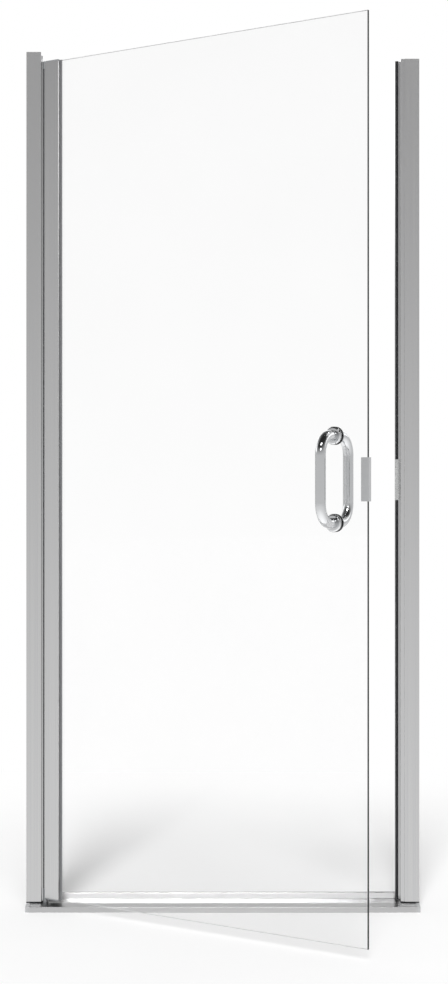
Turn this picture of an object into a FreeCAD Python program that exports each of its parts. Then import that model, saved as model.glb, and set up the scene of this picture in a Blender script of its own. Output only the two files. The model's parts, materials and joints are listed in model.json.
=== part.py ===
import FreeCAD, Part
import math
import os

# Hinged shower door in a slim aluminium frame, drawn standing ajar.
# Millimetres. +X runs to the right along the sill, +Y into the shower, +Z up.
# The origin is on the underside of the sill, at the middle of its length, below the closed glass.

Vector = FreeCAD.Vector
UP = Vector(0, 0, 1)
OUTSIDE = -1
INSIDE = 1

# The opening and the door in it
overall_width = 838.0
door_height = 1787.7
door_sill_gap = 7.3
door_ajar_deg = 30.0
glass_thickness = 6.35

# Sill
sill_height = 15.0
sill_nose = 21.1
sill_nose_drop = 3.3
sill_wall = 2.0
sill_edge_radius = 1.0
dam_setback = 4.0
dam_rise = 13.0
dam_lean = 4.0
dam_width = 12.0
dam_foot_radius = 1.0
dam_crest_radius = 3.0
end_cap_width = 8.0
end_cap_plug = 12.0
end_cap_bevel = 0.8
end_cap_clearance = 0.2

# Wall jambs, and the jambs that nest in them
jamb_face = 31.75
jamb_depth = 31.75
jamb_wall = 1.6
jamb_edge_radius = 0.6
nest_clearance = 0.275
nest_depth = 24.75
foot_pad_thickness = 2.4
hinge_wall_jamb_rise = 19.0
strike_jambs_rise = 4.5
wall_hole_radius = 2.6
wall_hole_end = 130.0

# Hinge: a bead on the stile turns in a lined cup on the hinge jamb
hinge_jamb_reveal = 2.15
hinge_jamb_nose_radius = 6.0
hinge_stand_off = 5.9
bead_radius = 4.2
liner_running_gap = 0.3
liner_thickness = 0.85
liner_seat_gap = 0.05
cup_wall = 1.6
cup_start_deg = -15.0
cup_end_deg = 200.0
liner_start_deg = -12.0
liner_end_deg = 170.0
pin_radius = 2.5
pin_running_gap = 0.05
pin_press_gap = 0.01
pin_in_bead = 25.0
pin_in_bearing = 13.0
pin_end_gap = 1.0
bearing_notch_gap = 0.4
bottom_bearing_height = 29.0
top_bearing_height = 16.0
thrust_washer_thickness = 0.6
thrust_running_gap = 0.1
top_running_gap = 0.3

# Hinge stile
stile_thickness = 25.4
stile_reach = 36.4
stile_rear_reach = 29.5
stile_skin = 1.6
stile_edge_radius = 1.0
stile_cup_gap = 0.6
stile_rear_lip = 4.5
glass_bite = 14.4
vinyl_thickness = 1.55
vinyl_gap = 0.05
vinyl_lip = 4.2
vinyl_lip_radius = 1.2
stile_cap_plate = 2.7
stile_cap_plug = 10.0
stile_cap_clearance = 0.2

# Strike jamb, with its bumper and strike plate
strike_reveal = 7.75
stop_reach = 10.0
glass_edge_gap = 5.5
bumper_width = 6.5
bumper_clearance = 0.325
bumper_radius = 2.4
bumper_edge_gap = 0.5
bumper_slot = 3.0
bumper_stem_gap = 0.05
bumper_barb_width = 4.0
bumper_barb_height = 1.2
bumper_plate_gap = 1.0
strike_plate_width = 9.0
strike_plate_height = 86.0
strike_plate_thickness = 1.5
strike_plate_inset = 0.1
strike_plate_corner = 0.8
strike_clearance = 0.3
strike_screw_spacing = 64.0
strike_screw_radius = 1.45
strike_screw_head_radius = 2.6
strike_screw_length = 6.0

# Catch on the free edge of the glass
catch_height = 84.0
catch_on_glass = 13.2
catch_bridge = 3.3
catch_thickness = 11.2
catch_corner_radius = 0.8
catch_pad_thickness = 0.6
magnet_width = 10.0
magnet_height = 70.0
magnet_thickness = 1.2
magnet_gap = 0.05

# Pull handles
handle_height = 917.0
handle_edge_distance = 71.1
handle_spacing = 168.0
handle_reach = 62.0
handle_bend = 38.0
bar_radius = 10.25
bar_seat = 1.0
bar_seat_gap = 0.1
flange_radius = 17.2
flange_thickness = 4.4
flange_bevel = 2.2
gasket_radius = 17.6
gasket_thickness = 2.6
stud_radius = 3.0
stud_gap = 0.1
stud_in_bar = 10.0
stud_end_gap = 1.0
glass_hole_radius = 6.0
bush_gap = 0.1
set_screw_radius = 2.0
set_screw_gap = 0.05
set_screw_from_end = 7.0

# Screws that lock each nested jamb in its wall jamb
jamb_screw_end = 230.0
jamb_screw_radius = 1.95
jamb_screw_gap = 0.05
jamb_screw_length = 7.0
jamb_screw_head_radius = 4.0
jamb_screw_head_height = 2.4
jamb_screw_head_bevel = 1.0

# Heights
jamb_bottom = sill_height + foot_pad_thickness
door_bottom = sill_height + door_sill_gap
door_top = door_bottom + door_height
hinge_wall_jamb_top = door_top + hinge_wall_jamb_rise
strike_jambs_top = door_top + strike_jambs_rise
stile_bottom = door_bottom + stile_cap_plate
stile_top = door_top - stile_cap_plate
bottom_bearing_top = sill_height + bottom_bearing_height
top_bearing_bottom = door_top - top_bearing_height
washer_top = bottom_bearing_top + thrust_washer_thickness
bead_bottom = washer_top + thrust_running_gap
bead_top = top_bearing_bottom - top_running_gap

# Places across the opening
half_width = overall_width / 2
jamb_front = -jamb_depth / 2
jamb_back = jamb_depth / 2
wall_jamb_mouth = half_width - jamb_face
nest_half_depth = jamb_back - jamb_wall - nest_clearance
nest_end = wall_jamb_mouth + nest_depth
jamb_screw_x = half_width - jamb_face / 2
hinge_jamb_face = hinge_jamb_reveal - wall_jamb_mouth
hinge_x = hinge_jamb_face + hinge_stand_off
stile_front = -stile_thickness / 2
stile_back = stile_thickness / 2
hinge_y = stile_front + bead_radius
liner_inner = bead_radius + liner_running_gap
liner_outer = liner_inner + liner_thickness
cup_inner = liner_outer + liner_seat_gap
cup_outer = cup_inner + cup_wall
notch_radius = bead_radius + bearing_notch_gap
stile_left = hinge_x + cup_outer + stile_cup_gap
stile_right = hinge_x + stile_reach
stile_rear_right = hinge_x + stile_rear_reach
glass_half = glass_thickness / 2
glass_left = stile_right - glass_bite
pocket_half = glass_half + vinyl_thickness + vinyl_gap
pocket_left = glass_left - vinyl_thickness - vinyl_gap
strike_step = wall_jamb_mouth - strike_reveal
glass_right = strike_step - glass_edge_gap
catch_half = catch_thickness / 2
strike_plate_face = catch_half + strike_clearance
stop_face = strike_plate_face + strike_plate_thickness
stop_left = strike_step - stop_reach
bumper_x = stop_left + bumper_edge_gap + bumper_width / 2
bumper_face = glass_half + bumper_clearance
handle_x = glass_right - handle_edge_distance
gasket_face = glass_half + gasket_thickness
flange_face = gasket_face + flange_thickness
bar_end = flange_face - bar_seat


def box(x0, x1, y0, y1, z0, z1):
    return Part.makeBox(x1 - x0, y1 - y0, z1 - z0, Vector(x0, y0, z0))


def rod(radius, start, end):
    along = end - start
    return Part.makeCylinder(radius, along.Length, start, along)


def section(corners):
    """A flat face in the XY plane through corners (x, y, radius), each rounded by its radius."""
    points = [Vector(x, y, 0) for x, y, radius in corners]
    rounds = []
    for i, corner in enumerate(points):
        radius = corners[i][2]
        back = (points[i - 1] - corner).normalize()
        ahead = (points[(i + 1) % len(points)] - corner).normalize()
        half_angle = back.getAngle(ahead) / 2
        cut = radius / math.tan(half_angle)
        inward = (back + ahead).normalize() * (radius / math.sin(half_angle) - radius)
        rounds.append((corner + back * cut, corner + inward, corner + ahead * cut))
    edges = []
    for i, (start, middle, end) in enumerate(rounds):
        edges.append(Part.makeLine(rounds[i - 1][2], start))
        if corners[i][2] > 0:
            edges.append(Part.Arc(start, middle, end).toShape())
    return Part.Face(Part.Wire(edges))


def upright(corners, z0, z1):
    """A straight vertical extrusion of the section through these corners."""
    solid = section(corners).extrude(UP * (z1 - z0))
    solid.translate(UP * z0)
    return solid


def along_sill(face, x0, x1):
    """A face drawn in depth and height, extruded along the sill."""
    solid = face.extrude(UP * (x1 - x0))
    turn = FreeCAD.Rotation(Vector(0, 1, 0), UP, Vector(1, 0, 0))
    solid.Placement = FreeCAD.Placement(Vector(x0, 0, 0), turn)
    return solid


def hinge_sector(inner, outer, start_deg, end_deg, z0, z1):
    """An upright piece of tube round the hinge axis, between two angles."""
    centre = Vector(hinge_x, hinge_y, z0)
    out_arc = Part.makeCircle(outer, centre, UP, start_deg, end_deg)
    in_arc = Part.makeCircle(inner, centre, UP, start_deg, end_deg)
    first = Part.makeLine(in_arc.firstVertex().Point, out_arc.firstVertex().Point)
    last = Part.makeLine(out_arc.lastVertex().Point, in_arc.lastVertex().Point)
    wire = Part.Wire(Part.__sortEdges__([out_arc, last, in_arc, first]))
    return Part.Face(wire).extrude(UP * (z1 - z0))


def on_axis(z):
    return Vector(hinge_x, hinge_y, z)


def whole(shape):
    """The one solid of a finished boolean, with its split faces joined."""
    solids = shape.removeSplitter().Solids
    if len(solids) != 1:
        raise ValueError(f"{len(solids)} solids where one was meant")
    return solids[0]


def mirrored(shape):
    return shape.mirror(Vector(0, 0, 0), Vector(1, 0, 0))


# Sill
def sill_section():
    front = jamb_front - sill_nose
    foot = jamb_back + dam_setback
    back = foot + dam_width
    crest = sill_height + dam_rise
    return section([
        (front, 0, 0),
        (front, sill_height - sill_nose_drop, sill_edge_radius),
        (jamb_front, sill_height, 0),
        (foot, sill_height, dam_foot_radius),
        (foot + dam_lean, crest, dam_crest_radius),
        (back, crest, dam_crest_radius),
        (back, 0, 0),
    ])


def sill():
    end = half_width - end_cap_width
    outside = along_sill(sill_section(), -end, end)
    hollow = along_sill(sill_section().makeOffset2D(-sill_wall), -end, end)
    return whole(outside.cut(hollow))


def sill_end_cap():
    """The right-hand cap: a bevelled plate of the sill's outline with a plug into its hollow."""
    end = half_width - end_cap_width
    plate = along_sill(sill_section(), end, half_width)
    outer_face = max(plate.Faces, key=lambda face: face.CenterOfMass.x)
    plate = plate.makeChamfer(end_cap_bevel, outer_face.Edges)
    plug_face = sill_section().makeOffset2D(-sill_wall - end_cap_clearance)
    plug = along_sill(plug_face, end - end_cap_plug, end)
    return whole(plate.fuse(plug))


# Jambs
def wall_hole_heights(top):
    return [jamb_bottom + wall_hole_end, (jamb_bottom + top) / 2, top - wall_hole_end]


def jamb_screw_heights():
    middle = (jamb_bottom + door_top) / 2
    return [jamb_bottom + jamb_screw_end, middle, door_top - jamb_screw_end]


def jamb_screw_bore(x, height):
    """The round passage of a locking screw through the back legs of both jambs."""
    start = Vector(x, jamb_back, height)
    return rod(jamb_screw_radius + jamb_screw_gap, start, start - Vector(0, jamb_screw_length, 0))


def wall_jamb(top):
    """The right-hand channel: its web against the wall and its mouth towards the opening."""
    web = half_width - jamb_wall
    inner = jamb_back - jamb_wall
    channel = upright([
        (half_width, jamb_front, jamb_edge_radius),
        (half_width, jamb_back, jamb_edge_radius),
        (wall_jamb_mouth, jamb_back, jamb_edge_radius),
        (wall_jamb_mouth, inner, 0),
        (web, inner, 0),
        (web, -inner, 0),
        (wall_jamb_mouth, -inner, 0),
        (wall_jamb_mouth, jamb_front, jamb_edge_radius),
    ], jamb_bottom, top)
    for height in wall_hole_heights(top):
        hole = rod(wall_hole_radius, Vector(web, 0, height), Vector(half_width, 0, height))
        channel = channel.cut(hole)
    for height in jamb_screw_heights():
        channel = channel.cut(jamb_screw_bore(jamb_screw_x, height))
    return whole(channel)


def foot_pad():
    """The right-hand pad, between the sill and the foot of the wall jamb."""
    return box(wall_jamb_mouth, half_width, jamb_front, jamb_back, sill_height, jamb_bottom)


def hinge_jamb():
    face = hinge_jamb_face
    back_of_web = face - jamb_wall
    outer = nest_half_depth
    inner = nest_half_depth - jamb_wall
    channel = upright([
        (-nest_end, -outer, 0),
        (face, -outer, hinge_jamb_nose_radius),
        (face, outer, jamb_edge_radius),
        (-nest_end, outer, 0),
        (-nest_end, inner, 0),
        (back_of_web, inner, 0),
        (back_of_web, -inner, hinge_jamb_nose_radius - jamb_wall),
        (-nest_end, -inner, 0),
    ], jamb_bottom, door_top)
    cup = hinge_sector(cup_inner, cup_outer, cup_start_deg, cup_end_deg, jamb_bottom, door_top)
    jamb = channel.fuse(cup)
    for height in jamb_screw_heights():
        jamb = jamb.cut(jamb_screw_bore(-jamb_screw_x, height))
    return whole(jamb)


def strike_jamb():
    outer = nest_half_depth
    inner = nest_half_depth - jamb_wall
    jamb = upright([
        (strike_step, -outer, jamb_edge_radius),
        (nest_end, -outer, 0),
        (nest_end, -inner, 0),
        (strike_step + jamb_wall, -inner, 0),
        (strike_step + jamb_wall, inner, 0),
        (nest_end, inner, 0),
        (nest_end, outer, 0),
        (stop_left, outer, jamb_edge_radius),
        (stop_left, stop_face, jamb_edge_radius),
        (strike_step, stop_face, 0),
    ], jamb_bottom, strike_jambs_top)
    chamber_front = stop_face + jamb_wall
    chamber = box(
        stop_left + jamb_wall, strike_step, chamber_front, inner, jamb_bottom, strike_jambs_top)
    slot = box(
        bumper_x - bumper_slot / 2, bumper_x + bumper_slot / 2,
        stop_face, chamber_front, jamb_bottom, strike_jambs_top)
    jamb = jamb.cut([chamber, slot])
    for height in jamb_screw_heights():
        jamb = jamb.cut(jamb_screw_bore(jamb_screw_x, height))
    return whole(jamb)


def jamb_screws(x):
    """Bevel-headed screws through the back of a wall jamb into the jamb nested in it."""
    bevel = jamb_screw_head_bevel
    turned = section([
        (0, -jamb_screw_length, 0),
        (jamb_screw_radius, -jamb_screw_length, 0),
        (jamb_screw_radius, 0, 0),
        (jamb_screw_head_radius, 0, 0),
        (jamb_screw_head_radius, jamb_screw_head_height - bevel, 0),
        (jamb_screw_head_radius - bevel, jamb_screw_head_height, 0),
        (0, jamb_screw_head_height, 0),
    ]).revolve(Vector(0, 0, 0), Vector(0, 1, 0), 360)
    screws = []
    for height in jamb_screw_heights():
        screw = turned.copy()
        screw.translate(Vector(x, jamb_back, height))
        screws.append(screw)
    return Part.makeCompound(screws)


# Hinge
def hinge_liner():
    z0 = bottom_bearing_top
    z1 = top_bearing_bottom
    return hinge_sector(liner_inner, liner_outer, liner_start_deg, liner_end_deg, z0, z1)


def bearing_block(z0, shoulder_z0, z1):
    """A round post on the hinge axis, with a shoulder at the back that fills the cup."""
    post = rod(bead_radius, on_axis(z0), on_axis(z1))
    shoulder = hinge_sector(pin_radius, liner_outer, 0, 180, shoulder_z0, z1)
    return post.fuse(shoulder)


def hinge_bottom_bearing():
    block = bearing_block(sill_height, jamb_bottom, bottom_bearing_top)
    depth = pin_in_bearing + pin_end_gap
    bore = rod(pin_radius + pin_running_gap, on_axis(bottom_bearing_top - depth), on_axis(bottom_bearing_top))
    return whole(block.cut(bore))


def hinge_top_bearing():
    block = bearing_block(top_bearing_bottom, top_bearing_bottom, door_top)
    depth = pin_in_bearing + pin_end_gap
    bore = rod(pin_radius + pin_running_gap, on_axis(top_bearing_bottom), on_axis(top_bearing_bottom + depth))
    return whole(block.cut(bore))


def hinge_thrust_washer():
    disc = rod(bead_radius, on_axis(bottom_bearing_top), on_axis(washer_top))
    hole = rod(pin_radius + pin_running_gap, on_axis(bottom_bearing_top), on_axis(washer_top))
    return disc.cut(hole).Solids[0]


def pivot_pin_bottom():
    return rod(pin_radius, on_axis(bottom_bearing_top - pin_in_bearing), on_axis(bead_bottom + pin_in_bead))


def pivot_pin_top():
    return rod(pin_radius, on_axis(bead_top - pin_in_bead), on_axis(top_bearing_bottom + pin_in_bearing))


# Strike side
def bumper(z0, z1):
    """A push-in strip: rounded head, stem through the slot, barb behind it."""
    half_head = bumper_width / 2
    half_stem = bumper_slot / 2 - bumper_stem_gap
    half_barb = bumper_barb_width / 2
    slot_back = stop_face + jamb_wall + bumper_stem_gap
    barb_end = slot_back + bumper_barb_height
    return upright([
        (bumper_x - half_head, stop_face, 0),
        (bumper_x - half_head, bumper_face, bumper_radius),
        (bumper_x + half_head, bumper_face, bumper_radius),
        (bumper_x + half_head, stop_face, 0),
        (bumper_x + half_stem, stop_face, 0),
        (bumper_x + half_stem, slot_back, 0),
        (bumper_x + half_barb, slot_back, 0),
        (bumper_x + half_stem, barb_end, 0),
        (bumper_x - half_stem, barb_end, 0),
        (bumper_x - half_barb, slot_back, 0),
        (bumper_x - half_stem, slot_back, 0),
        (bumper_x - half_stem, stop_face, 0),
    ], z0, z1)


def bumper_lower():
    return bumper(jamb_bottom, handle_height - strike_plate_height / 2 - bumper_plate_gap)


def bumper_upper():
    return bumper(handle_height + strike_plate_height / 2 + bumper_plate_gap, strike_jambs_top)


def strike_screw(height):
    """A countersunk screw, its head flush with the face of the strike plate."""
    face = Vector(bumper_x, strike_plate_face, height)
    inward = Vector(0, 1, 0)
    taper = strike_screw_head_radius - strike_screw_radius
    head = Part.makeCone(strike_screw_head_radius, strike_screw_radius, taper, face, inward)
    shank = rod(strike_screw_radius, face, face + inward * strike_screw_length)
    return whole(head.fuse(shank))


def strike_screw_heights():
    return [handle_height - strike_screw_spacing / 2, handle_height + strike_screw_spacing / 2]


def strike_plate_screws():
    return Part.makeCompound([strike_screw(height) for height in strike_screw_heights()])


def strike_plate():
    left = stop_left + strike_plate_inset
    right = left + strike_plate_width
    half = strike_plate_height / 2
    plate = upright([
        (left, strike_plate_face, strike_plate_corner),
        (right, strike_plate_face, strike_plate_corner),
        (right, stop_face, 0),
        (left, stop_face, 0),
    ], handle_height - half, handle_height + half)
    for height in strike_screw_heights():
        plate = plate.cut(strike_screw(height))
    return whole(plate)


# Glass and the stile that carries it
def glass_panel():
    glass = box(glass_left, glass_right, -glass_half, glass_half, door_bottom, door_top)
    for height in handle_post_heights():
        start = Vector(handle_x, -glass_half, height)
        glass = glass.cut(rod(glass_hole_radius, start, start + Vector(0, glass_thickness, 0)))
    return whole(glass)


def stile_outline():
    """The glass pocket between a long front leg and a shorter rear one."""
    return [
        (stile_left, stile_front, 0),
        (stile_right, stile_front, stile_edge_radius),
        (stile_right, -pocket_half, 0),
        (pocket_left, -pocket_half, 0),
        (pocket_left, pocket_half, 0),
        (stile_rear_right, pocket_half, 0),
        (stile_rear_right, stile_back, stile_edge_radius),
        (stile_left, stile_back, 0),
    ]


def hinge_stile():
    z0 = stile_bottom
    z1 = stile_top
    skin = stile_skin
    body = upright(stile_outline(), z0, z1)
    front_web = box(hinge_x, stile_left, stile_front, stile_front + skin, z0, z1)
    rear_lip = box(hinge_x - stile_rear_lip, stile_left, stile_back - skin, stile_back, z0, z1)
    bead = rod(bead_radius, on_axis(z0), on_axis(z1))
    stile = body.fuse([front_web, rear_lip, bead])
    hinge_chamber = box(
        stile_left + skin, pocket_left - skin, stile_front + skin, stile_back - skin, z0, z1)
    front_chamber = box(
        pocket_left, stile_right - skin, stile_front + skin, -pocket_half - skin, z0, z1)
    rear_chamber = box(
        pocket_left, stile_rear_right - skin, pocket_half + skin, stile_back - skin, z0, z1)
    pin_bore = rod(pin_radius + pin_press_gap, on_axis(z0), on_axis(z1))
    lower_notch = rod(notch_radius, on_axis(z0), on_axis(bead_bottom))
    upper_notch = rod(notch_radius, on_axis(bead_top), on_axis(z1))
    chambers = [hinge_chamber, front_chamber, rear_chamber]
    return whole(stile.cut(chambers + [pin_bore, lower_notch, upper_notch]))


def glazing_vinyl():
    left = pocket_left + vinyl_gap
    front_right = stile_right + vinyl_lip
    rear_right = stile_rear_right + vinyl_lip
    outer = glass_half + vinyl_thickness
    return upright([
        (left, -outer, 0),
        (front_right, -outer, vinyl_lip_radius),
        (front_right, -glass_half, 0),
        (glass_left, -glass_half, 0),
        (glass_left, glass_half, 0),
        (rear_right, glass_half, 0),
        (rear_right, outer, vinyl_lip_radius),
        (left, outer, 0),
    ], door_bottom, door_top)


def stile_cap(plate_z0, plate_z1, plug_z0, plug_z1):
    """A plate of the stile's outline over its end, with a plug into its chamber."""
    gap = stile_cap_clearance
    plate = upright(stile_outline(), plate_z0, plate_z1)
    tongue = box(
        hinge_x + notch_radius, stile_left, stile_front, stile_front + stile_skin, plate_z0, plate_z1)
    plug = box(
        stile_left + stile_skin + gap, pocket_left - stile_skin - gap,
        stile_front + stile_skin + gap, stile_back - stile_skin - gap, plug_z0, plug_z1)
    return whole(plate.fuse([tongue, plug]))


def stile_bottom_cap():
    return stile_cap(door_bottom, stile_bottom, stile_bottom, stile_bottom + stile_cap_plug)


def stile_top_cap():
    return stile_cap(stile_top, door_top, stile_top - stile_cap_plug, stile_top)


# Pull handles
def handle_post_heights():
    return [handle_height - handle_spacing / 2, handle_height + handle_spacing / 2]


def set_screw_axis(height):
    """From the underside of an inner post up to its stud."""
    y = bar_end + set_screw_from_end
    return Vector(handle_x, y, height - bar_radius), Vector(handle_x, y, height - stud_radius - stud_gap)


def pull_bar(side):
    """A bent bar: out from the glass, a bend, the grip, a bend and back, with a hole in each end."""
    half = handle_spacing / 2
    reach = handle_reach
    bend = handle_bend
    mid = bend * (1 - math.sqrt(0.5))

    def at(out, up):
        return Vector(handle_x, side * out, handle_height + up)

    path = Part.Wire([
        Part.makeLine(at(bar_end, half), at(reach - bend, half)),
        Part.Arc(at(reach - bend, half), at(reach - mid, half - mid), at(reach, half - bend)).toShape(),
        Part.makeLine(at(reach, half - bend), at(reach, bend - half)),
        Part.Arc(at(reach, bend - half), at(reach - mid, mid - half), at(reach - bend, -half)).toShape(),
        Part.makeLine(at(reach - bend, -half), at(bar_end, -half)),
    ])

    ring = Part.makeCircle(bar_radius, at(bar_end, half), Vector(0, side, 0))
    bar = path.makePipeShell([Part.Wire(ring)], True, False)
    hole_end = bar_end + stud_in_bar + stud_end_gap
    for up in (-half, half):
        bar = bar.cut(rod(stud_radius + stud_gap, at(bar_end, up), at(hole_end, up)))
    return whole(bar)


def front_handle():
    return pull_bar(OUTSIDE)


def rear_handle():
    bar = pull_bar(INSIDE)
    for height in handle_post_heights():
        start, end = set_screw_axis(height)
        bar = bar.cut(rod(set_screw_radius + set_screw_gap, start, end))
    return whole(bar)


def flanges(side):
    """Turned round bases, each with a shallow seat for the end of the bar."""
    seat = bar_radius + bar_seat_gap
    hole = stud_radius + stud_gap
    floor = flange_thickness - bar_seat
    profile = section([
        (hole, 0, 0),
        (flange_radius, 0, 0),
        (flange_radius, flange_thickness - flange_bevel, 0),
        (flange_radius - flange_bevel, flange_thickness, 0),
        (seat, flange_thickness, 0),
        (seat, floor, 0),
        (hole, floor, 0),
    ])
    turned = profile.revolve(Vector(0, 0, 0), Vector(0, 1, 0), 360)
    if side == OUTSIDE:
        turned.rotate(Vector(0, 0, 0), UP, 180)
    bases = []
    for height in handle_post_heights():
        base = turned.copy()
        base.translate(Vector(handle_x, side * gasket_face, height))
        bases.append(base)
    return Part.makeCompound(bases)


def rings(outer, inner, y0, y1):
    """One ring on the axis of each handle post."""
    made = []
    for height in handle_post_heights():
        start = Vector(handle_x, y0, height)
        end = Vector(handle_x, y1, height)
        made.append(rod(outer, start, end).cut(rod(inner, start, end)).Solids[0])
    return Part.makeCompound(made)


def front_gaskets():
    return rings(gasket_radius, stud_radius + stud_gap, -gasket_face, -glass_half)


def rear_gaskets():
    return rings(gasket_radius, stud_radius + stud_gap, glass_half, gasket_face)


def hole_bushes():
    return rings(glass_hole_radius - bush_gap, stud_radius + stud_gap, -glass_half, glass_half)


def handle_studs():
    half = bar_end + stud_in_bar
    studs = []
    for height in handle_post_heights():
        studs.append(rod(stud_radius, Vector(handle_x, -half, height), Vector(handle_x, half, height)))
    return Part.makeCompound(studs)


def handle_set_screws():
    return Part.makeCompound([rod(set_screw_radius, *set_screw_axis(h)) for h in handle_post_heights()])


# Catch
def magnet_pocket(gap):
    right = glass_right + catch_bridge - magnet_gap - (catch_bridge - catch_pad_thickness) / 2
    half = magnet_height / 2 + gap
    return box(
        right - magnet_width - gap, right + gap, catch_half - magnet_thickness, catch_half,
        handle_height - half, handle_height + half)


def clip_section(inner_half, outer_half, inner_right, outer_right, radius):
    left = glass_right - catch_on_glass
    return [
        (left, -outer_half, radius),
        (outer_right, -outer_half, radius),
        (outer_right, outer_half, radius),
        (left, outer_half, radius),
        (left, inner_half, 0),
        (inner_right, inner_half, 0),
        (inner_right, -inner_half, 0),
        (left, -inner_half, 0),
    ]


def catch_clip():
    inner = glass_half + catch_pad_thickness
    corners = clip_section(
        inner, catch_half, glass_right + catch_pad_thickness, glass_right + catch_bridge,
        catch_corner_radius)
    clip = upright(corners, handle_height - catch_height / 2, handle_height + catch_height / 2)
    return whole(clip.cut(magnet_pocket(magnet_gap)))


def catch_magnet():
    return magnet_pocket(0)


def catch_pad():
    outer = glass_half + catch_pad_thickness
    corners = clip_section(glass_half, outer, glass_right, glass_right + catch_pad_thickness, 0)
    return upright(corners, handle_height - catch_height / 2, handle_height + catch_height / 2)


fixed_pieces = {
    "sill": sill(),
    "sill_end_cap_left": mirrored(sill_end_cap()),
    "sill_end_cap_right": sill_end_cap(),
    "hinge_wall_jamb": mirrored(wall_jamb(hinge_wall_jamb_top)),
    "strike_wall_jamb": wall_jamb(strike_jambs_top),
    "hinge_jamb": hinge_jamb(),
    "strike_jamb": strike_jamb(),
    "hinge_liner": hinge_liner(),
    "hinge_bottom_bearing": hinge_bottom_bearing(),
    "hinge_top_bearing": hinge_top_bearing(),
    "hinge_thrust_washer": hinge_thrust_washer(),
    "hinge_foot_pad": mirrored(foot_pad()),
    "strike_foot_pad": foot_pad(),
    "bumper_upper": bumper_upper(),
    "bumper_lower": bumper_lower(),
    "strike_plate": strike_plate(),
    "strike_plate_screws": strike_plate_screws(),
    "hinge_jamb_screws": jamb_screws(-jamb_screw_x),
    "strike_jamb_screws": jamb_screws(jamb_screw_x),
}

# The door is drawn shut, then swung out on its hinge to stand ajar.
door_pieces = {
    "glass_panel": glass_panel(),
    "hinge_stile": hinge_stile(),
    "glazing_vinyl": glazing_vinyl(),
    "stile_top_cap": stile_top_cap(),
    "stile_bottom_cap": stile_bottom_cap(),
    "pivot_pin_bottom": pivot_pin_bottom(),
    "pivot_pin_top": pivot_pin_top(),
    "front_handle": front_handle(),
    "rear_handle": rear_handle(),
    "front_flanges": flanges(OUTSIDE),
    "rear_flanges": flanges(INSIDE),
    "front_gaskets": front_gaskets(),
    "rear_gaskets": rear_gaskets(),
    "handle_studs": handle_studs(),
    "hole_bushes": hole_bushes(),
    "handle_set_screws": handle_set_screws(),
    "catch_clip": catch_clip(),
    "catch_magnet": catch_magnet(),
    "catch_pad": catch_pad(),
}
for shape in door_pieces.values():
    shape.rotate(on_axis(0), UP, -door_ajar_deg)

os.makedirs("parts", exist_ok=True)
for name, shape in {**fixed_pieces, **door_pieces}.items():
    shape.exportStep(f"parts/{name}.step")
    print(name, len(shape.Solids), "solid,", round(shape.Volume / 1000, 2), "cm3")
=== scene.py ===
# %% [markdown]
# # A hinged shower door
# The real door is a pane of clear glass held along one edge by an aluminium stile, which turns in a
# jamb screwed to the wall. The CAD model already holds every metal, nylon and rubber piece at its
# true size. This script keeps those shapes and adds what CAD leaves out: finishes, a glass pane with
# ground edges, buffed bases under the pulls, light, a floor and a camera.

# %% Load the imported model
import bmesh
import bpy
import json
import math
from mathutils import Matrix, Vector


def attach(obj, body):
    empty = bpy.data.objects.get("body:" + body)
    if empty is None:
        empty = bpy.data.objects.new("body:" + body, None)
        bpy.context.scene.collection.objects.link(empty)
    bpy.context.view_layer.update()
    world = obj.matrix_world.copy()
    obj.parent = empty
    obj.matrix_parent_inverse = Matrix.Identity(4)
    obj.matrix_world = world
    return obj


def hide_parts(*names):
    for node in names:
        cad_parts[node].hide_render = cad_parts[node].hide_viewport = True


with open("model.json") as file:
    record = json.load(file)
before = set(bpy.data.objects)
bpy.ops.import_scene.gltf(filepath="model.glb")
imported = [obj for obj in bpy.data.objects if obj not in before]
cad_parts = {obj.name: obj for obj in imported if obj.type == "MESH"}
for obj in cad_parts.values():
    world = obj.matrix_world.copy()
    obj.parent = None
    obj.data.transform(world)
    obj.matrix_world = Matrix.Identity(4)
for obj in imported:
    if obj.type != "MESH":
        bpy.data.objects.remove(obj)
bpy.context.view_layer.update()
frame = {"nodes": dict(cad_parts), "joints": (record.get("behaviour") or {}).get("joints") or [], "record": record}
nodes = frame["nodes"]

# %% [markdown]
# ## Where the door hangs
# The stored pose is the door standing ajar, so its glass lies at an angle to the sill. The script
# needs that angle once, to tell the broad faces of the pane from its edges. The joint in the record
# gives it: the door was drawn open, and the upper limit of the joint is the way back to shut.

# %% The way that the glass faces
hinge = frame["joints"][0]
ajar = math.radians(hinge["range_deg"][1])
glass_normal = Matrix.Rotation(-ajar, 3, "Z") @ Vector((0, 1, 0))
print("door stands", round(math.degrees(ajar), 1), "degrees open, glass faces", tuple(glass_normal))

# %% [markdown]
# ## The camera
# The photograph was taken level, from half the height of the door and square to the sill, so upright
# edges stay parallel and only the swung glass runs away. A long lens at about 3.4 metres gives the
# same slant to the top and bottom edges of the glass. The horizon sits a few pixels above the middle
# of the picture, which is a small shift of the lens and no tilt.

# %% Camera
MM = 0.001
PHOTO_HEIGHT_PX = 984
FOCAL_PX = 1578
HORIZON_ABOVE_MIDDLE_PX = 9
SENSOR_MM = 36
EYE_MM = Vector((2.5, -3380, 910))

camera_data = bpy.data.cameras.new("camera")
camera_data.sensor_fit = "VERTICAL"
camera_data.sensor_height = SENSOR_MM
camera_data.lens = SENSOR_MM * FOCAL_PX / PHOTO_HEIGHT_PX
camera_data.shift_y = -HORIZON_ABOVE_MIDDLE_PX / PHOTO_HEIGHT_PX
camera = bpy.data.objects.new("camera", camera_data)
camera.location = EYE_MM * MM
camera.rotation_euler = (math.radians(90), 0, 0)
scene = bpy.context.scene
scene.collection.objects.link(camera)
scene.camera = camera
scene.view_settings.view_transform = "Standard"
print("lens", round(camera_data.lens, 1), "mm")

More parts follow.
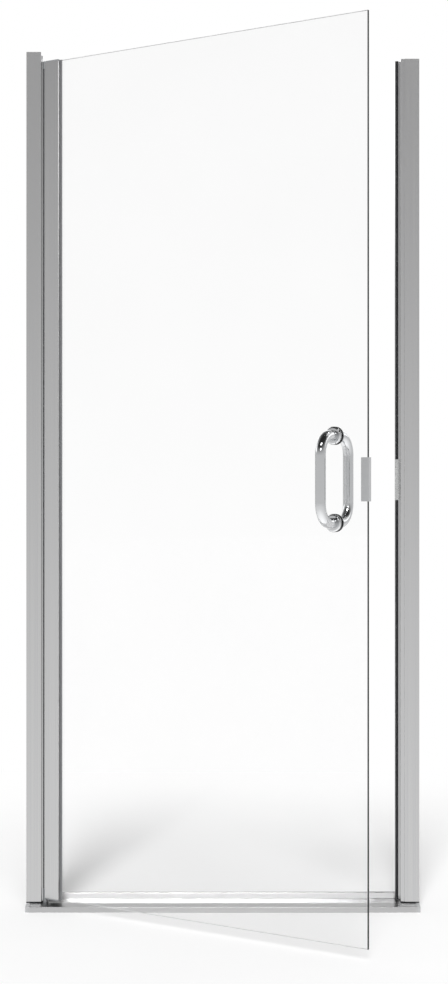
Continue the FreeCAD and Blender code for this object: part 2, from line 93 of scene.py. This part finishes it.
# %% [markdown]
# ## Helpers for finishes
# A finish is a shader tree. One function turns a colour as it is seen on a screen into the linear
# numbers that Blender works in, one adds a node, sets its settings and fills or links its sockets,
# and one starts an empty material. Every finish below is written with these three.

# %% Colour, node and material helpers
def colour(hex_text):
    """Undo the curve of sRGB, the coding of colours on screens."""
    channels = [int(hex_text[i:i + 2], 16) / 255 for i in (0, 2, 4)]
    linear = [c / 12.92 if c <= 0.04045 else ((c + 0.055) / 1.055) ** 2.4 for c in channels]
    return (*linear, 1.0)


def add(tree, kind, sockets=None, stops=(), **settings):
    """Add a node, with its settings, its sockets filled or linked and, on a colour ramp, its stops."""
    node = tree.nodes.new(kind)
    for name, value in settings.items():
        setattr(node, name, value)
    for name, value in (sockets or {}).items():
        socket = node.inputs[name]
        if isinstance(value, bpy.types.NodeSocket):
            tree.links.new(value, socket)
        else:
            socket.default_value = value
    for i, (position, hex_text) in enumerate(stops):
        if i >= len(node.color_ramp.elements):
            node.color_ramp.elements.new(position)
        node.color_ramp.elements[i].position = position
        node.color_ramp.elements[i].color = colour(hex_text)
    return node


def new_material(name):
    material = bpy.data.materials.new(name)
    material.use_nodes = True
    material.node_tree.nodes.clear()
    return material, material.node_tree


print("mid grey", [round(c, 3) for c in colour("808080")])

# %% [markdown]
# ## Extruded aluminium
# The jambs, the stile and the sill are pushed through a die, dipped bright and anodised. The die
# leaves faint lines along the length, so the sheen is a little streaked one way and even the other
# way. A wave texture could draw such lines, but as evenly as a comb. A noise stretched along the
# extrusion looks more like the work of a die, and gives both the streaks in the sheen and a slight
# unevenness of tone. Real die lines are tenths of a millimetre apart, too fine to show here, so they
# are drawn some millimetres apart.

# %% Anodised aluminium, extruded and bright dipped
DIE_LINE_MM = 2.5
DIE_RUN_MM = 900.0
DIE_RELIEF_MM = 0.02
DIE_RELIEF_SHARE = 0.04


def extruded_aluminium(name, light, dark, run_axis, sheen_low, sheen_high):
    material, tree = new_material(name)
    place = add(tree, "ShaderNodeTexCoord")
    across = 1 / (DIE_LINE_MM * MM)
    along = 1 / (DIE_RUN_MM * MM)
    scale = [along if axis == run_axis else across for axis in "XYZ"]
    stretch = add(tree, "ShaderNodeMapping", {"Vector": place.outputs["Object"], "Scale": scale})
    lines = add(tree, "ShaderNodeTexNoise", {
        "Vector": stretch.outputs["Vector"], "Scale": 1.0, "Detail": 3.0, "Roughness": 0.55})
    tone = add(tree, "ShaderNodeValToRGB", {"Fac": lines.outputs["Fac"]},
        stops=[(0.3, dark), (0.7, light)])
    sheen = add(tree, "ShaderNodeMapRange", {
        "Value": lines.outputs["Fac"], "To Min": sheen_low, "To Max": sheen_high})
    relief = add(tree, "ShaderNodeBump", {
        "Height": lines.outputs["Fac"], "Strength": DIE_RELIEF_SHARE, "Distance": DIE_RELIEF_MM * MM})
    metal = add(tree, "ShaderNodeBsdfPrincipled", {
        "Base Color": tone.outputs["Color"], "Metallic": 1.0,
        "Roughness": sheen.outputs["Result"], "Normal": relief.outputs["Normal"]})
    add(tree, "ShaderNodeOutputMaterial", {"Surface": metal.outputs["BSDF"]})
    return material


# All three look soft grey. The jambs mirror the most sharply, the stile less so, and the sill is so
# blurred that its steep faces catch the lamps over a wide angle.
jamb_finish = extruded_aluminium("aluminium_jamb_anodised", "C8C8C8", "C3C3C4", "Z", 0.10, 0.14)
stile_finish = extruded_aluminium("aluminium_stile_anodised", "CBCBCB", "C6C6C7", "Z", 0.18, 0.24)
sill_finish = extruded_aluminium("aluminium_sill_anodised", "BFBFBF", "B9B9BA", "X", 0.27, 0.33)
print("aluminium finishes", jamb_finish.name, stile_finish.name, sill_finish.name)

# %% [markdown]
# ## Plated metal
# The pulls and their round bases are polished and chrome plated. Chrome is a little bluish, darker
# than silver and nearly a mirror. One roughness all over would do from afar, but handling leaves a
# faint uneven film, so here it drifts slowly, over about two centimetres. Zinc plate, turned steel
# and the satin catch are the same idea with a duller mirror.

# %% Chrome, zinc and turned steel
SMEAR_MM = 18.0


def plated_metal(name, light, dark, sheen_low, sheen_high):
    material, tree = new_material(name)
    place = add(tree, "ShaderNodeTexCoord")
    smear = add(tree, "ShaderNodeTexNoise", {
        "Vector": place.outputs["Object"], "Scale": 1 / (SMEAR_MM * MM), "Detail": 4.0})
    tone = add(tree, "ShaderNodeValToRGB", {"Fac": smear.outputs["Fac"]},
        stops=[(0.0, dark), (1.0, light)])
    sheen = add(tree, "ShaderNodeMapRange", {
        "Value": smear.outputs["Fac"], "To Min": sheen_low, "To Max": sheen_high})
    metal = add(tree, "ShaderNodeBsdfPrincipled", {
        "Base Color": tone.outputs["Color"], "Metallic": 1.0, "Roughness": sheen.outputs["Result"]})
    add(tree, "ShaderNodeOutputMaterial", {"Surface": metal.outputs["BSDF"]})
    return material


# Chrome gives sharp reflections, the catch a milky one, zinc and steel a dull grey glow.
chrome_finish = plated_metal("chrome_plate_polished", "CCCDCE", "C6C7C9", 0.04, 0.09)
catch_finish = plated_metal("aluminium_catch_satin", "C9CACB", "C1C2C4", 0.30, 0.38)
zinc_finish = plated_metal("zinc_plate_bright", "CFD0CF", "C6C7C7", 0.22, 0.34)
steel_finish = plated_metal("steel_turned", "B9BABC", "A9ABAE", 0.25, 0.40)
print("plated finishes", chrome_finish.name, catch_finish.name, zinc_finish.name, steel_finish.name)

# %% [markdown]
# ## Moulded and extruded plastics
# The bumper, washers and pads are black rubber or foam, the glazing gasket and the bearings are grey
# vinyl and nylon, and the caps are moulded. None is a mirror: a fine grain scatters the light, and
# dust and wear make the tone slightly uneven. Modelling the grain would take far too many faces, so
# a noise drives a bump. Real grain is too fine to show here, and is drawn one or two millimetres
# wide. The finishes differ in tone, in sheen and in the depth of the grain: the cells of foam stand
# out, while the skin of extruded rubber is nearly smooth.

# %% Rubber, vinyl, nylon and foam
PLASTIC_IOR = 1.5
GRAIN_DEPTH_MM = 0.1


def grained_plastic(name, light, dark, grain_mm, sheen_low, sheen_high, relief_share):
    material, tree = new_material(name)
    place = add(tree, "ShaderNodeTexCoord")
    grain = add(tree, "ShaderNodeTexNoise", {
        "Vector": place.outputs["Object"], "Scale": 1 / (grain_mm * MM), "Detail": 5.0})
    tone = add(tree, "ShaderNodeValToRGB", {"Fac": grain.outputs["Fac"]},
        stops=[(0.25, dark), (0.75, light)])
    sheen = add(tree, "ShaderNodeMapRange", {
        "Value": grain.outputs["Fac"], "To Min": sheen_low, "To Max": sheen_high})
    relief = add(tree, "ShaderNodeBump", {
        "Height": grain.outputs["Fac"], "Strength": relief_share, "Distance": GRAIN_DEPTH_MM * MM})
    plastic = add(tree, "ShaderNodeBsdfPrincipled", {
        "Base Color": tone.outputs["Color"], "IOR": PLASTIC_IOR,
        "Roughness": sheen.outputs["Result"], "Normal": relief.outputs["Normal"]})
    add(tree, "ShaderNodeOutputMaterial", {"Surface": plastic.outputs["BSDF"]})
    return material


# Black rubber keeps a faint sheen and foam none. The grey ones are matt enough to show their own tone.
rubber_finish = grained_plastic("rubber_black_extruded", "202123", "131415", 1.5, 0.42, 0.58, 0.2)
foam_finish = grained_plastic("foam_black_closed_cell", "232426", "101112", 1.0, 0.75, 0.9, 0.6)
vinyl_finish = grained_plastic("vinyl_grey_extruded", "808183", "727375", 2.0, 0.35, 0.48, 0.15)
nylon_finish = grained_plastic("nylon_grey_moulded", "8F9193", "838587", 1.2, 0.38, 0.52, 0.2)
cap_finish = grained_plastic("abs_grey_moulded", "8E9092", "848688", 1.2, 0.38, 0.50, 0.2)
silver_finish = grained_plastic("abs_sprayed_silver", "B2B3B4", "A7A8A9", 0.8, 0.28, 0.38, 0.1)
magnet_finish = grained_plastic("ferrite_magnet_pressed", "3A3B3D", "2B2C2E", 0.8, 0.5, 0.65, 0.3)
print("plastics", rubber_finish.name, vinyl_finish.name, nylon_finish.name, cap_finish.name)

# %% [markdown]
# ## Glass
# The pane is tempered soda-lime glass, a quarter inch thick. Its faces are fire-polished and almost vanish. Its
# ground edges get painted light and shade. The upright edge is painted dark, a painted shade for light that enters
# it and runs on inside the pane. The top and bottom edges are painted pale, a painted reflection of the
# surroundings.
# Face and edge therefore get separate finishes. A plain glass shader would also stop lamplight, so
# for rays towards lamps, and for those that leave a matt surface, it is swapped for a clear one that
# takes a little off. The pane then lays a light shade on the floor as a real one does. The ground
# edges let lamplight through in the same way. The marks of the grinding wheel are too fine to show,
# so they are drawn as patches some millimetres wide.

# %% Clear glass and its ground edges
GLASS_IOR = 1.5
GLASS_SHADE = "F2F2F2"
FILM_MM = 240.0
GRINDING_MM = 6.0
EDGE_GLOSS = 0.1


def clear_for(tree, shader, ray_kind):
    """Swap a shader for clear glass where the ray is of the given kind."""
    ray = add(tree, "ShaderNodeLightPath")
    clear = add(tree, "ShaderNodeBsdfTransparent", {"Color": colour(GLASS_SHADE)})
    swapped = add(tree, "ShaderNodeMixShader", {
        "Fac": ray.outputs[ray_kind], 1: shader, 2: clear.outputs["BSDF"]})
    return swapped.outputs["Shader"]


def pane_glass():
    material, tree = new_material("glass_soda_lime_tempered")
    place = add(tree, "ShaderNodeTexCoord")
    film = add(tree, "ShaderNodeTexNoise", {
        "Vector": place.outputs["Object"], "Scale": 1 / (FILM_MM * MM), "Detail": 2.0})
    tone = add(tree, "ShaderNodeValToRGB", {"Fac": film.outputs["Fac"]},
        stops=[(0.0, "FCFCFC"), (1.0, "FFFFFF")])
    glass = add(tree, "ShaderNodeBsdfPrincipled", {
        "Base Color": tone.outputs["Color"], "Roughness": 0.0, "IOR": GLASS_IOR,
        "Transmission Weight": 1.0})
    scattered = clear_for(tree, glass.outputs["BSDF"], "Is Diffuse Ray")
    towards_lamp = clear_for(tree, scattered, "Is Shadow Ray")
    add(tree, "ShaderNodeOutputMaterial", {"Surface": towards_lamp})
    return material


def ground_edge(name, light, dark):
    material, tree = new_material(name)
    place = add(tree, "ShaderNodeTexCoord")
    wheel = add(tree, "ShaderNodeTexNoise", {
        "Vector": place.outputs["Object"], "Scale": 1 / (GRINDING_MM * MM), "Detail": 3.0})
    tone = add(tree, "ShaderNodeValToRGB", {"Fac": wheel.outputs["Fac"]},
        stops=[(0.3, dark), (0.7, light)])
    sheen = add(tree, "ShaderNodeMapRange", {
        "Value": wheel.outputs["Fac"], "To Min": 0.35, "To Max": 0.5})
    edge = add(tree, "ShaderNodeBsdfPrincipled", {
        "Base Color": tone.outputs["Color"], "IOR": GLASS_IOR, "Specular IOR Level": EDGE_GLOSS,
        "Roughness": sheen.outputs["Result"]})
    towards_lamp = clear_for(tree, edge.outputs["BSDF"], "Is Shadow Ray")
    add(tree, "ShaderNodeOutputMaterial", {"Surface": towards_lamp})
    return material


# Painted shade makes the upright edge nearly black. A painted reflection of the pale surroundings makes the top
# and bottom edges light grey.
glass_finish = pane_glass()
edge_finish_painted_shade = ground_edge("glass_edge_ground_painted_shade", "1E2322", "161A19")
edge_finish_painted_reflection = ground_edge("glass_edge_ground_painted_reflection", "D2D2D2", "C8C8C8")
print("glass finishes", glass_finish.name, edge_finish_painted_shade.name, edge_finish_painted_reflection.name)

# %% [markdown]
# ## Dressing the CAD pieces
# Every CAD piece keeps its own shape and gets the finish of the stuff that it is made of. The record
# already sorts the pieces by material, so the finishes are handed out by those material slots.

# %% Hand out the finishes
finish_of_slot = {
    "jamb_aluminium": jamb_finish,
    "stile_aluminium": stile_finish,
    "sill_aluminium": sill_finish,
    "silver_plastic": silver_finish,
    "grey_plastic": cap_finish,
    "nylon": nylon_finish,
    "black_foam": foam_finish,
    "black_rubber": rubber_finish,
    "grey_vinyl": vinyl_finish,
    "clear_glass": glass_finish,
    "polished_chrome": chrome_finish,
    "plated_steel": zinc_finish,
    "plain_steel": steel_finish,
    "catch_chrome": catch_finish,
    "magnet": magnet_finish,
}
slot_of_node = {subpart["node"]: subpart["material_slot"] for subpart in frame["record"]["subparts"]}
for name, slot in slot_of_node.items():
    nodes[name].data.materials.clear()
    nodes[name].data.materials.append(finish_of_slot[slot])
print("dressed", len(slot_of_node), "pieces")

# %% [markdown]
# ## Eased copies
# A glass shop grinds a narrow flat along the edges of a pane, and a polisher buffs the bevel of a
# turned base until it is round. CAD leaves both crisp. A Bevel modifier could ease a whole piece, but
# on the real ones only some edges are eased, so those are picked in code. Such a piece is made from a
# copy of its CAD mesh: the loose triangles are welded, the flat ones merged, the chosen edges
# bevelled, and edges that stay sharp are marked so that the round ones shade smoothly.

# %% Helper for eased copies
WELD_MM = 0.01
FLAT = math.radians(1)
SHARP = math.radians(35)


def eased_copy(name, new_name, is_eased, width_mm, steps):
    mesh = nodes[name].data.copy()
    mesh.name = new_name
    mesh.attributes.remove(mesh.attributes["custom_normal"])
    shape = bmesh.new()
    shape.from_mesh(mesh)
    bmesh.ops.remove_doubles(shape, verts=shape.verts, dist=WELD_MM * MM)
    bmesh.ops.dissolve_limit(shape, angle_limit=FLAT, verts=shape.verts, edges=shape.edges)
    eased = [edge for edge in shape.edges if is_eased(edge)]
    bmesh.ops.bevel(
        shape, geom=eased, offset=width_mm * MM, offset_type="OFFSET", affect="EDGES",
        segments=steps, profile=0.5, material=-1)
    shape.normal_update()
    for face in shape.faces:
        face.smooth = True
    for edge in shape.edges:
        edge.smooth = edge.calc_face_angle(math.pi) < SHARP
    shape.to_mesh(mesh)
    shape.free()
    piece = bpy.data.objects.new(new_name, mesh)
    scene.collection.objects.link(piece)
    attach(piece, "door")
    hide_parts(name)
    print(new_name, "edges eased", len(eased), "faces", len(mesh.polygons))
    return piece


# %% [markdown]
# ## The pane
# The pane is cut, drilled and ground before it is tempered. The edges to ease are the long sharp ones
# of its outline, which leaves the two holes for the pulls alone. Its faces could be given their
# finishes one by one. The way that each face points tells them apart as well, and still does so when
# the door is made in another size.

# %% Glass pane with ground edges
ARRIS_MM = 0.6
ARRIS_STEPS = 1
LONG_EDGE_MM = 500.0
FACING_UP = 0.3
FACING_OUT = 0.99
# Material slots for the painted shade on the upright edges and the painted reflection on the level edges.
PAINTED_SHADE_EDGE_SLOT = 1
PAINTED_REFLECTION_EDGE_SLOT = 2


def is_pane_rim(edge):
    return edge.calc_length() > LONG_EDGE_MM * MM and edge.calc_face_angle(0) > SHARP


pane = eased_copy("glass_panel", "pane", is_pane_rim, ARRIS_MM, ARRIS_STEPS)
for finish in (edge_finish_painted_shade, edge_finish_painted_reflection):
    pane.data.materials.append(finish)
# An edge face leans away from the way that the glass faces, and the level ones point up or down. The level edges
# get the painted reflection, and the upright ones get the painted shade.
for face in pane.data.polygons:
    if abs(face.normal.z) > FACING_UP:
        face.material_index = PAINTED_REFLECTION_EDGE_SLOT
    elif abs(face.normal.dot(glass_normal)) < FACING_OUT:
        face.material_index = PAINTED_SHADE_EDGE_SLOT
print("pane finishes", [material.name for material in pane.data.materials])

# %% [markdown]
# ## Buffed bases
# The round bases of the pulls are turned with a bevel, which buffing rounds over. They could be spun
# anew from a drawn section, but the CAD shape is right, and only its edges are too crisp. The edges
# to ease are the two circles at the ends of that bevel, which bend by about forty-five degrees.

# %% Bases with a buffed rim
BUFF_MM = 0.9
BUFF_STEPS = 4
BEVEL_MIN = math.radians(40)
BEVEL_MAX = math.radians(50)


def is_base_bevel(edge):
    return BEVEL_MIN < edge.calc_face_angle(0) < BEVEL_MAX


for side in ("front", "rear"):
    eased_copy(f"{side}_flanges", f"{side}_buffed_bases", is_base_bevel, BUFF_MM, BUFF_STEPS)

# %% [markdown]
# ## Floor
# The photograph is a catalogue picture on white: a pale floor that carries soft shadows and then
# runs out to nothing. A backdrop that curves up could hide where it ends, but it would stand in the
# way when the door is seen from behind. This floor is a flat matt sheet whose tone drifts very
# slightly, and from half a metre behind the door it begins to glow by itself, so that it meets the
# white background without a line. Metal doesn't mirror this sheet. It mirrors the floor of the
# studio, which comes with the surroundings.

# %% Floor
FLOOR_HALF_M = 20.0

floor_mesh = bpy.data.meshes.new("floor")
shape = bmesh.new()
bmesh.ops.create_grid(shape, x_segments=1, y_segments=1, size=FLOOR_HALF_M)
shape.to_mesh(floor_mesh)
shape.free()
floor = bpy.data.objects.new("floor", floor_mesh)
floor.visible_glossy = False
scene.collection.objects.link(floor)
print("floor", 2 * FLOOR_HALF_M, "metres across")

# %% Matt paper that fades to white
DRIFT_PER_M = 3.0
FADE_START_M = 0.5
FADE_END_M = 1.6

floor_finish, tree = new_material("floor_paper_matt")
place = add(tree, "ShaderNodeTexCoord")
drift = add(tree, "ShaderNodeTexNoise", {"Vector": place.outputs["Object"], "Scale": DRIFT_PER_M})
tone = add(tree, "ShaderNodeValToRGB", {"Fac": drift.outputs["Fac"]},
    stops=[(0.0, "F6F6F6"), (1.0, "F9F9F9")])
paper = add(tree, "ShaderNodeBsdfDiffuse", {"Color": tone.outputs["Color"]})
glow = add(tree, "ShaderNodeEmission", {"Color": colour("FFFFFF"), "Strength": 1.0})
away = add(tree, "ShaderNodeSeparateXYZ", {"Vector": place.outputs["Object"]})
fade = add(tree, "ShaderNodeMapRange", {
    "Value": away.outputs["Y"], "From Min": FADE_START_M, "From Max": FADE_END_M},
    interpolation_type="SMOOTHSTEP")
surface = add(tree, "ShaderNodeMixShader", {
    "Fac": fade.outputs["Result"], 1: paper.outputs["BSDF"], 2: glow.outputs["Emission"]})
add(tree, "ShaderNodeOutputMaterial", {"Surface": surface.outputs["Shader"]})
floor_mesh.materials.append(floor_finish)
print("floor finish", floor_finish.name)

# %% [markdown]
# ## Lamps
# Two large lamps stand beside the camera, high up. The left one is brighter, and the right one twice
# as wide. Each jamb therefore throws one soft shadow backwards and one weak one that melts near its
# foot. Area lamps could do this, but they light what is near them more. Suns with a wide disc light
# the floor evenly, and their shadows blur with distance as they do under a softbox. A sun is far
# harder in a mirror than a softbox is, so mirrors don't see these two. They see lamps that come with
# the surroundings.

# %% Lamps
LAMP_ASIDE_DEG = 8.0
LAMP_ELEVATION_DEG = 48.0
KEY_DISC_DEG = 13.0
KEY_STRENGTH = 1.80
SIDE_DISC_DEG = 26.0
SIDE_STRENGTH = 0.80


def studio_lamp(name, aside_deg, disc_deg, strength):
    data = bpy.data.lights.new(name, "SUN")
    data.energy = strength
    data.angle = math.radians(disc_deg)
    lamp = bpy.data.objects.new(name, data)
    lamp.rotation_euler = (math.radians(90 - LAMP_ELEVATION_DEG), 0, math.radians(aside_deg))
    lamp.visible_glossy = False
    scene.collection.objects.link(lamp)
    return lamp


key_lamp = studio_lamp("key_left", -LAMP_ASIDE_DEG, KEY_DISC_DEG, KEY_STRENGTH)
side_lamp = studio_lamp("side_right", LAMP_ASIDE_DEG, SIDE_DISC_DEG, SIDE_STRENGTH)
lamps = [key_lamp, side_lamp]
print("lamps", [lamp.name for lamp in lamps])

# %% [markdown]
# ## Surroundings
# The background is white to the eye and through the glass. What the metal mirrors is a studio: its
# floor is brightest straight below, in front of the door the room darkens upwards to black, and
# behind it a lit backdrop stands as a bright band between grey below and dark above. Walls could be
# built for this, but they would get in the way of other views. In the world they take no room: two
# ramps by height give them, and the direction of the ray picks between the two.

# %% The studio that metal mirrors
MIRROR_STRENGTH = 1.9
ROOM_ENDS_AT = -0.1
BACKDROP_STARTS_AT = 0.2

world = bpy.data.worlds.new("studio")
world.use_nodes = True
scene.world = world
tree = world.node_tree
tree.nodes.clear()
direction = add(tree, "ShaderNodeTexCoord")
split = add(tree, "ShaderNodeSeparateXYZ", {"Vector": direction.outputs["Generated"]})
height = add(tree, "ShaderNodeMapRange", {
    "Value": split.outputs["Z"], "From Min": -1.0, "From Max": 1.0})
# On both ramps 0 is straight down, 0.5 is level and 1 is straight up.
near_floor = [(0.0, "F4" * 3), (0.06, "E9" * 3), (0.20, "D6" * 3), (0.30, "C5" * 3),
              (0.39, "C0" * 3)]
dark_room = [(0.465, "B5" * 3), (0.56, "A1" * 3), (0.62, "93" * 3), (0.71, "66" * 3),
             (0.80, "2D" * 3), (1.0, "21" * 3)]
room = add(tree, "ShaderNodeValToRGB", {"Fac": height.outputs["Result"]},
    stops=near_floor + dark_room)
far_floor = [(0.0, "F4" * 3), (0.50, "AD" * 3), (0.56, "AD" * 3)]
lit_band = [(0.60, "FF" * 3), (0.665, "FF" * 3), (0.715, "C6" * 3), (0.77, "AE" * 3),
            (0.90, "5B" * 3), (1.0, "2D" * 3)]
backdrop = add(tree, "ShaderNodeValToRGB", {"Fac": height.outputs["Result"]},
    stops=far_floor + lit_band)
behind = add(tree, "ShaderNodeMapRange", {
    "Value": split.outputs["Y"], "From Min": ROOM_ENDS_AT, "From Max": BACKDROP_STARTS_AT})
mirrored = add(tree, "ShaderNodeMix", {
    "Factor": behind.outputs["Result"], "A": room.outputs["Color"], "B": backdrop.outputs["Color"]},
    data_type="RGBA")
mirror = add(tree, "ShaderNodeBackground", {
    "Color": mirrored.outputs["Result"], "Strength": MIRROR_STRENGTH})
print("mirrored studio of strength", MIRROR_STRENGTH)

# %% [markdown]
# ## Lamps in the mirrors
# In the dark part of the studio, metal finds the two lamps again as soft discs, and below them a low
# wide panel that lights the upstand of the sill. Glowing plates could hang there, but they would be
# near the door and in sight of other views. A bright patch in the world lies in the same direction
# for every piece, and only mirrors see it.

# %% Lamps in the mirrored studio
SOFT_RIM_OUTER = 1.15
SOFT_RIM_INNER = 0.85
SOFTBOX_RADIUS_DEG = 6.0
SOFTBOX_STRENGTH = 6.0
PANEL_ELEVATION_DEG = 24.5
PANEL_HALF_WIDTH_DEG = 13.0
PANEL_HALF_HEIGHT_DEG = 5.0
PANEL_STRENGTH = 3.4


def soft_lamp(studio, towards, half_width_deg, half_height_deg, strength):
    """Lay a lamp with a soft rim over the mirrored studio."""
    light = add(tree, "ShaderNodeBackground", {"Color": colour("FFFFFF"), "Strength": strength})
    offset = add(tree, "ShaderNodeVectorMath", {
        0: direction.outputs["Generated"], 1: towards}, operation="SUBTRACT")
    wide = math.radians(half_width_deg)
    tall = math.radians(half_height_deg)
    share = add(tree, "ShaderNodeVectorMath", {
        0: offset.outputs["Vector"], 1: (wide, wide, tall)}, operation="DIVIDE")
    reach = add(tree, "ShaderNodeVectorMath", {0: share.outputs["Vector"]}, operation="LENGTH")
    inside = add(tree, "ShaderNodeMapRange", {
        "Value": reach.outputs["Value"], "From Min": SOFT_RIM_OUTER, "From Max": SOFT_RIM_INNER})
    lit_studio = add(tree, "ShaderNodeMixShader", {
        "Fac": inside.outputs["Result"], 1: studio, 2: light.outputs["Background"]})
    return lit_studio.outputs["Shader"]


studio = mirror.outputs["Background"]
for lamp in lamps:
    towards = lamp.rotation_euler.to_matrix() @ Vector((0, 0, 1))
    studio = soft_lamp(studio, towards, SOFTBOX_RADIUS_DEG, SOFTBOX_RADIUS_DEG, SOFTBOX_STRENGTH)
rise = math.radians(PANEL_ELEVATION_DEG)
towards = Vector((0, -math.cos(rise), math.sin(rise)))
studio = soft_lamp(studio, towards, PANEL_HALF_WIDTH_DEG, PANEL_HALF_HEIGHT_DEG, PANEL_STRENGTH)
print("mirrored studio with", len(lamps) + 1, "lamps")

# %% [markdown]
# ## What each ray sees
# One world serves the eye, the glass, the metal and the matt surfaces. Stronger lamps could make the
# background white, but they would burn out the door as well. So the world answers each ray by its
# kind: from the camera and through the glass it is plain white, in a mirror it is the studio, and to
# matt surfaces it is an even fill.

# %% The background and the fill
FILL_STRENGTH = 0.45

fill = add(tree, "ShaderNodeBackground", {"Color": colour("FFFFFF"), "Strength": FILL_STRENGTH})
white = add(tree, "ShaderNodeBackground", {"Color": colour("FFFFFF"), "Strength": 1.0})
ray = add(tree, "ShaderNodeLightPath")
in_metal = add(tree, "ShaderNodeMixShader", {
    "Fac": ray.outputs["Is Glossy Ray"], 1: fill.outputs["Background"], 2: studio})
behind_glass = add(tree, "ShaderNodeMixShader", {
    "Fac": ray.outputs["Glossy Depth"], 1: white.outputs["Background"], 2: studio})
bent = add(tree, "ShaderNodeMixShader", {
    "Fac": ray.outputs["Is Transmission Ray"], 1: in_metal.outputs["Shader"],
    2: behind_glass.outputs["Shader"]})
shown = add(tree, "ShaderNodeMixShader", {
    "Fac": ray.outputs["Is Camera Ray"], 1: bent.outputs["Shader"], 2: white.outputs["Background"]})
matt = add(tree, "ShaderNodeMixShader", {
    "Fac": ray.outputs["Diffuse Depth"], 1: shown.outputs["Shader"], 2: fill.outputs["Background"]})
add(tree, "ShaderNodeOutputWorld", {"Surface": matt.outputs["Shader"]})
print("world", world.name)
